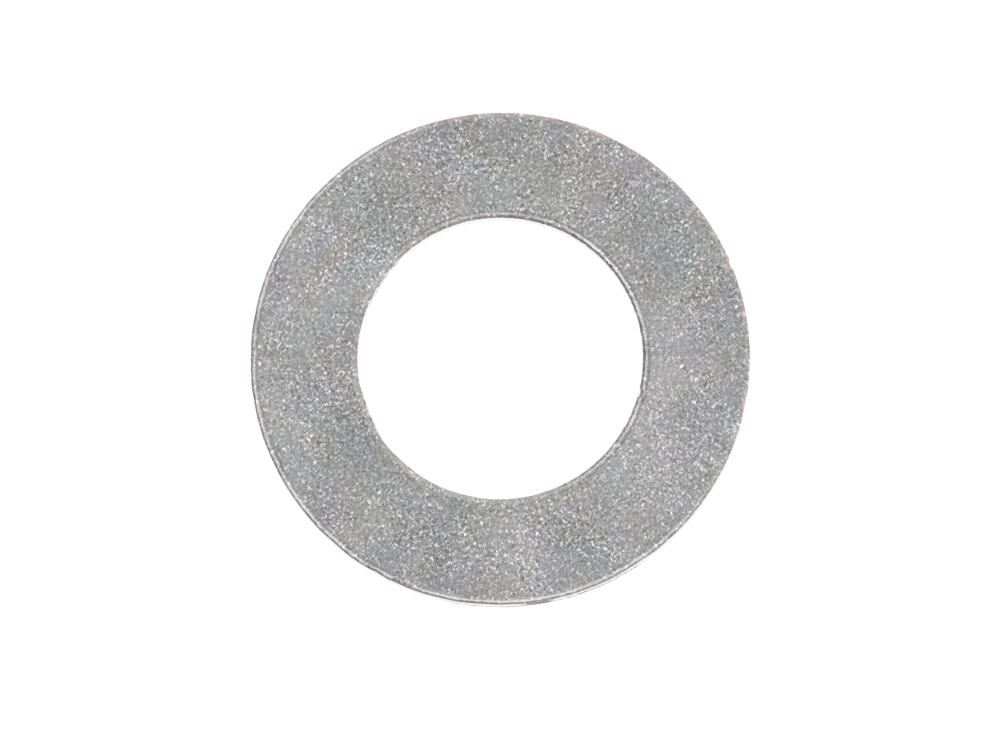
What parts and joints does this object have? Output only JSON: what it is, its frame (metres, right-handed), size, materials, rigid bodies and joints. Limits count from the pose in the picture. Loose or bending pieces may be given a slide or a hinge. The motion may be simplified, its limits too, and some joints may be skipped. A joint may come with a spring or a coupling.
{
  "type": "shim ring",
  "caption": "Flat steel shim ring with a plain round bore and edges rolled over on one face, slid over a shaft to take up end play.",
  "frame": {"origin": "on the axis of the bore, in the plane of the underside that the ring lies on", "axes": "+Z along the axis of the bore, from the underside to the face whose edges are rolled over; X and Y are any two directions across the round ring"},
  "size_m": [0.03, 0.03, 0.001],
  "materials": {
    "zinc_plated_steel": "matt rolled sheet under a thin bright zinc plating, with a fine frosted grain and a few handling marks"
  },
  "bodies": {
    "root": {"shim_ring": "zinc_plated_steel"}
  },
  "joints": []
}
